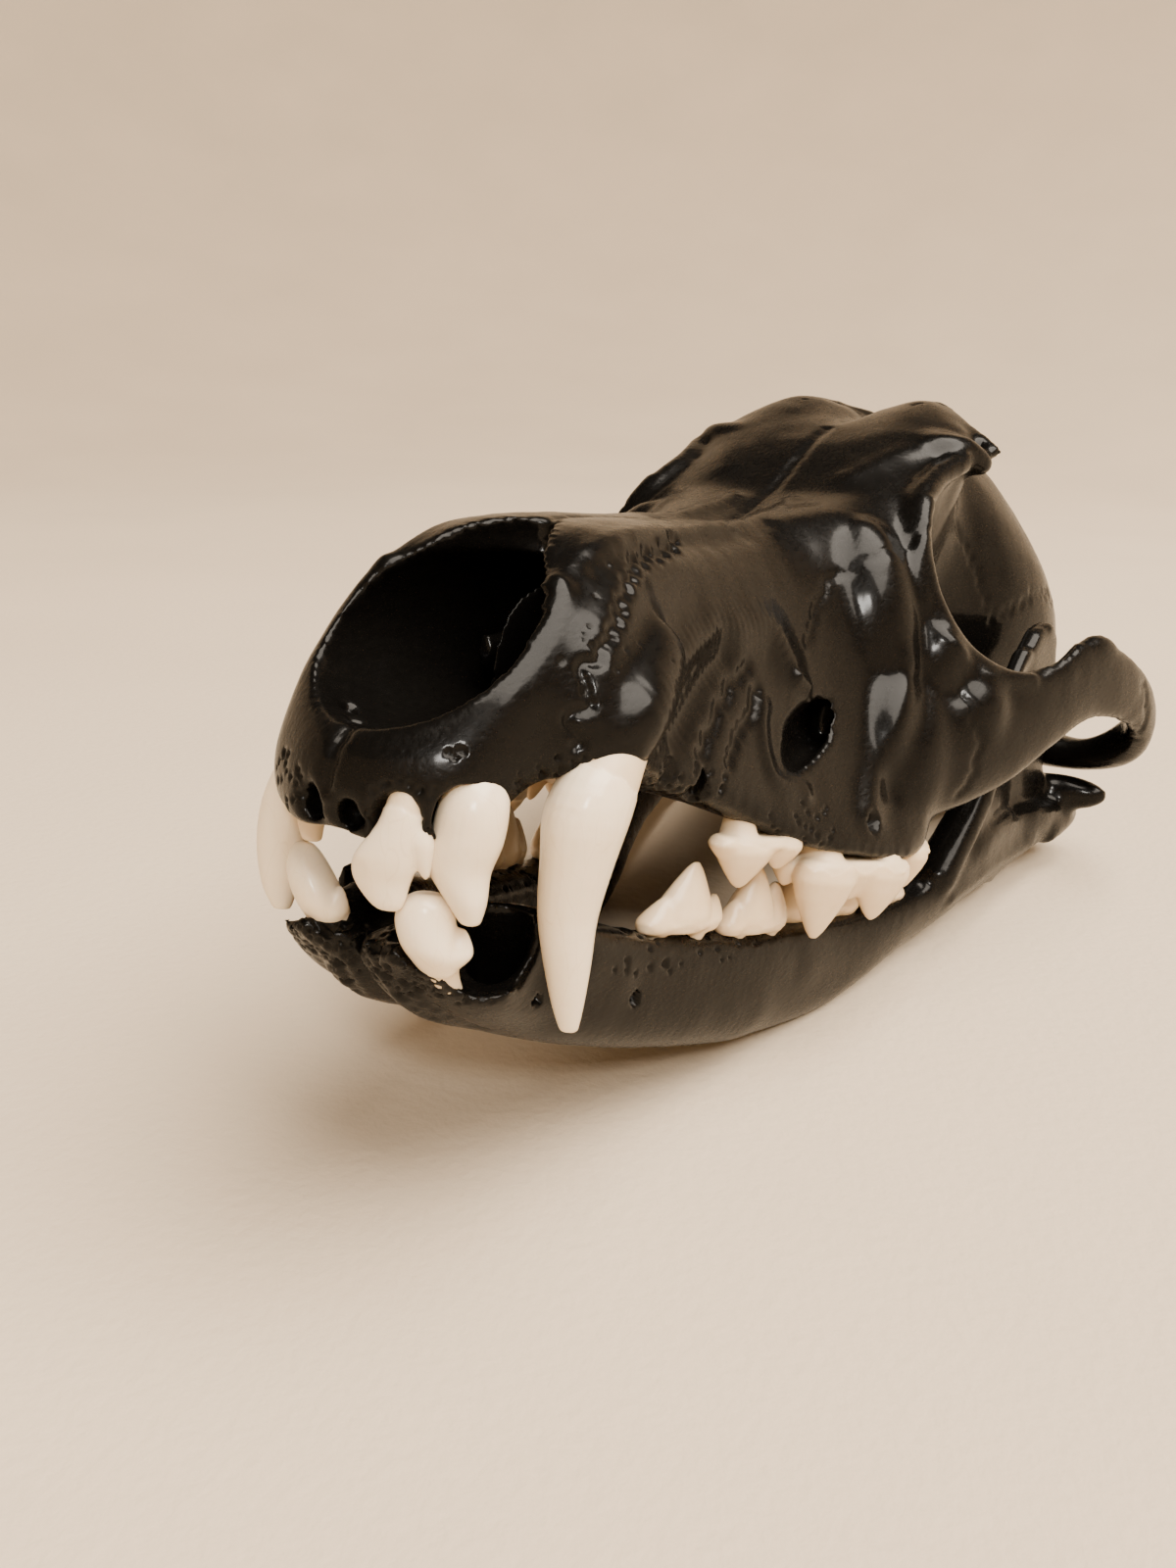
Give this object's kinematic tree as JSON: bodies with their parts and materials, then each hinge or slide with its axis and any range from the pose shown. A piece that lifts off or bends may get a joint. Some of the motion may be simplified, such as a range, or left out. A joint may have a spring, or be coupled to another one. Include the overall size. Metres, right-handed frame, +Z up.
{
  "type": "coyote skull",
  "caption": "Life-size coyote skull with its lower jaw closed: long muzzle, tall canine, shearing cheek teeth, open cheek arches and a crested braincase, in glossy black bone.",
  "frame": {"origin": "middle of the skull's footprint, at the level of the flats under the lower jaw and the neck processes", "axes": "+Z up as the skull rests, +Y from the nose towards the back of the head, +X to the animal's left"},
  "size_m": [0.1024, 0.2018, 0.0776],
  "materials": {
    "muzzle_bone": "bone under a thin coat of glossy black paint; its teeth are bare ivory enamel in the render",
    "braincase_bone": "bone under a thin coat of glossy black paint",
    "cheek_arch_bone": "bone under a thin coat of glossy black paint",
    "mandible_bone": "bone under a thin coat of glossy black paint; its teeth are bare ivory enamel in the render"
  },
  "bodies": {
    "root": {"muzzle": "muzzle_bone", "braincase": "braincase_bone", "cheek_arch_left": "cheek_arch_bone", "cheek_arch_right": "cheek_arch_bone", "mandible_left": "mandible_bone", "mandible_right": "mandible_bone"}
  },
  "joints": []
}
